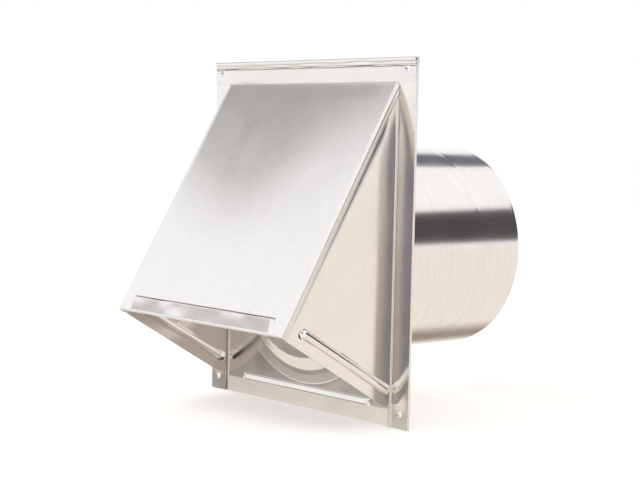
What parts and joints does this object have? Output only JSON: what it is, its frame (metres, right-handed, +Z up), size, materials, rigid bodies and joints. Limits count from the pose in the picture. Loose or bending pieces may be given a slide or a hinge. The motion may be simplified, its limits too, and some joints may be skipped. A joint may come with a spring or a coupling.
{
  "type": "hooded wall vent with gravity damper",
  "caption": "Hooded sheet-aluminium wall vent with a round duct behind its square plate and a top-hinged gravity damper flap under the hood.",
  "frame": {"origin": "duct axis at the wall face, where the back of the plate meets the wall", "axes": "+Z up, +Y into the wall along the duct, +X to the right of someone facing the hood"},
  "size_m": [0.218, 0.2404, 0.25],
  "materials": {
    "plate_aluminium": "bright mill finish",
    "hood_aluminium": "bright mill finish",
    "duct_aluminium": "bright rolled",
    "flap_aluminium": "bright stamped",
    "bracket_steel": "zinc plated",
    "rivet_aluminium": "satin",
    "cap_steel": "spring steel"
  },
  "bodies": {
    "housing": {"back_plate": "plate_aluminium", "top_strip": "plate_aluminium", "hood_front": "hood_aluminium", "cheek_left": "hood_aluminium", "cheek_right": "hood_aluminium", "lock_seam_left": "hood_aluminium", "lock_seam_right": "hood_aluminium", "duct_pipe": "duct_aluminium", "duct_seam": "duct_aluminium", "seat_ring": "plate_aluminium", "hinge_bracket_left": "bracket_steel", "hinge_bracket_right": "bracket_steel", "bracket_rivets": "rivet_aluminium"},
    "damper": {"flap_pan": "flap_aluminium", "hinge_rod": "bracket_steel", "rod_caps": "cap_steel"}
  },
  "joints": [
    {"name": "damper_swing", "type": "hinge", "parent": "housing", "child": "damper", "pos_m": [0, -0.0057, 0.066], "axis": [-1, 0, 0], "range_deg": [0, 38]}
  ]
}
